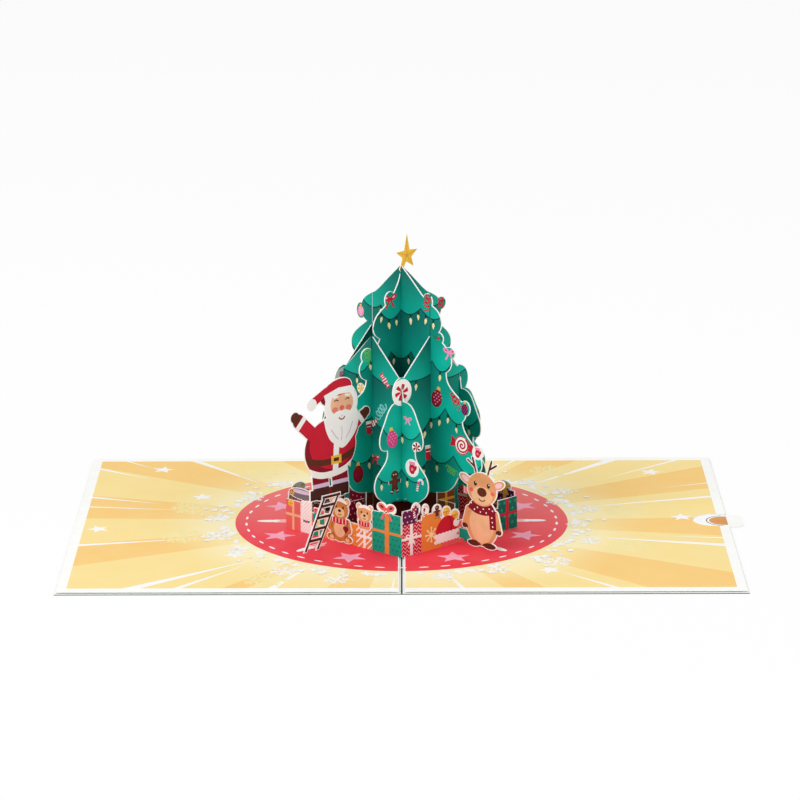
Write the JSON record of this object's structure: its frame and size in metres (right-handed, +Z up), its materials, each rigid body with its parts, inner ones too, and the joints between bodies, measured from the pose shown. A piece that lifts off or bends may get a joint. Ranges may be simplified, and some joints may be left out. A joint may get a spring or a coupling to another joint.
{
  "type": "pop up card",
  "caption": "Pop-up greeting card that opens flat under a halved-sheet tree with a ring of presents, standing figures and a pull-out message card in a pocket.",
  "frame": {"origin": "centre of the open card's underside, on the table under the fold", "axes": "+X crosses the fold to the right leaf, +Y runs along the fold to the back edge, +Z is up"},
  "size_m": [0.2594, 0.178, 0.1168],
  "materials": {
    "cover_card": "smooth dark green card outside, white inside",
    "liner_paper": "smooth printed paper in pale and warm yellow with a red round rug",
    "tape_film": "translucent white double-sided tape",
    "tree_card": "printed teal card with white cut edges",
    "present_card": "printed card, presents in several colours",
    "figure_card": "printed card figures with a white cut margin",
    "message_paper": "smooth white writing card"
  },
  "bodies": {
    "card": {"cover": "cover_card", "father_christmas": "figure_card", "gifts_back_left": "present_card", "gifts_back_right": "present_card", "gifts_front_left": "present_card", "gifts_front_right": "present_card", "large_bear": "figure_card", "left_back_tape": "tape_film", "left_edge_tape": "tape_film", "left_front_tape": "tape_film", "left_liner": "liner_paper", "left_spine_tape": "tape_film", "pocket_stop_tape": "tape_film", "reindeer": "figure_card", "right_back_tape": "tape_film", "right_front_tape": "tape_film", "right_liner": "liner_paper", "right_spine_tape": "tape_film", "small_bear": "figure_card", "stepladder": "figure_card", "tree_back_left": "tree_card", "tree_back_right": "tree_card", "tree_front_left": "tree_card", "tree_front_right": "tree_card", "tree_main_a": "tree_card", "tree_main_b": "tree_card"},
    "message_card": {"message_card": "message_paper"}
  },
  "joints": [
    {"name": "message_card_slide", "type": "slide", "parent": "card", "child": "message_card", "axis": [1, 0, 0], "range_m": [0, 0.106]}
  ]
}
